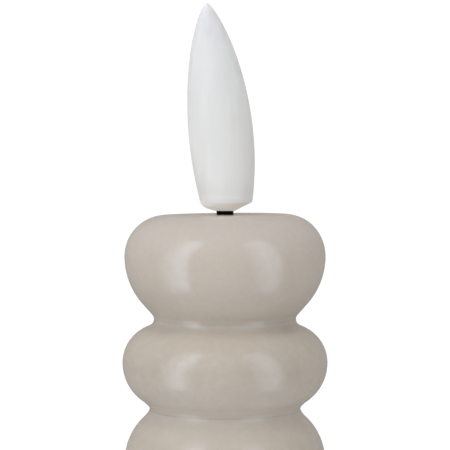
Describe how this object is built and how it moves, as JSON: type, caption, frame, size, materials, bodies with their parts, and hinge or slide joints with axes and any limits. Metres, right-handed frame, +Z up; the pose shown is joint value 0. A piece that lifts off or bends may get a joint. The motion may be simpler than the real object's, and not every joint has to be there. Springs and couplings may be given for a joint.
{
  "type": "flameless led candle",
  "caption": "Wax pillar LED candle of stacked rounded bulges, with a leaning hollow flame on a short black wick, a hinged battery door and a slide timer switch under its base.",
  "frame": {"origin": "centre of the candle's footprint, on the surface it stands on", "axes": "+Z up along the candle's axis, -Y is the front, and the flame leans towards -X"},
  "size_m": [0.05, 0.05, 0.1708],
  "materials": {
    "wax": "satin cast wax, greige",
    "frosted_flame": "frosted translucent white",
    "black_wick": "matt black",
    "white_plastic": "fine moulded grain",
    "dark_plastic": "fine moulded grain",
    "circuit_board": "green solder mask with pale traces",
    "component_black": "moulded component case",
    "led_lens": "warm phosphor",
    "lead_black": "wire insulation",
    "lead_white": "wire insulation",
    "lead_yellow": "wire insulation",
    "lead_red": "wire insulation",
    "cell_can": "printed sleeve with bright ends",
    "spring_steel": "nickel plated",
    "screw_steel": "zinc plated",
    "component_can": "drawn can",
    "capacitor_sleeve": "shrink sleeve",
    "rubber_foot": "matt"
  },
  "bodies": {
    "candle": {"wax_body": "wax", "core_tube": "white_plastic", "wick_tube": "black_wick", "flame_shell": "frosted_flame", "flame_collar": "frosted_flame", "flame_board": "circuit_board", "flame_led_lower": "led_lens", "flame_led_upper": "led_lens", "led_lead_common": "lead_black", "led_lead_lower": "lead_white", "led_lead_upper": "lead_yellow", "battery_cage": "dark_plastic", "battery_left": "cell_can", "battery_right": "cell_can", "contact_plus": "spring_steel", "contact_minus": "spring_steel", "cage_spring": "spring_steel", "battery_wire_plus": "lead_red", "battery_wire_minus": "lead_black", "main_board": "circuit_board", "board_screws": "screw_steel", "timer_chip": "component_black", "timer_crystal": "component_can", "capacitor": "capacitor_sleeve", "resistors": "component_black", "switch_case": "component_can", "base_plate": "dark_plastic", "base_screws": "screw_steel", "foot_ring": "rubber_foot"},
    "door": {"battery_door": "dark_plastic", "door_contact": "spring_steel", "door_spring": "spring_steel"},
    "switch_slider": {"switch_knob": "dark_plastic"}
  },
  "joints": [
    {"name": "door_hinge", "type": "hinge", "parent": "candle", "child": "door", "pos_m": [0, -0.0096, 0.0021], "axis": [-1, 0, 0], "range_deg": [0, 100]},
    {"name": "switch_slide", "type": "slide", "parent": "candle", "child": "switch_slider", "axis": [1, 0, 0], "range_m": [-0.002, 0.002]}
  ]
}
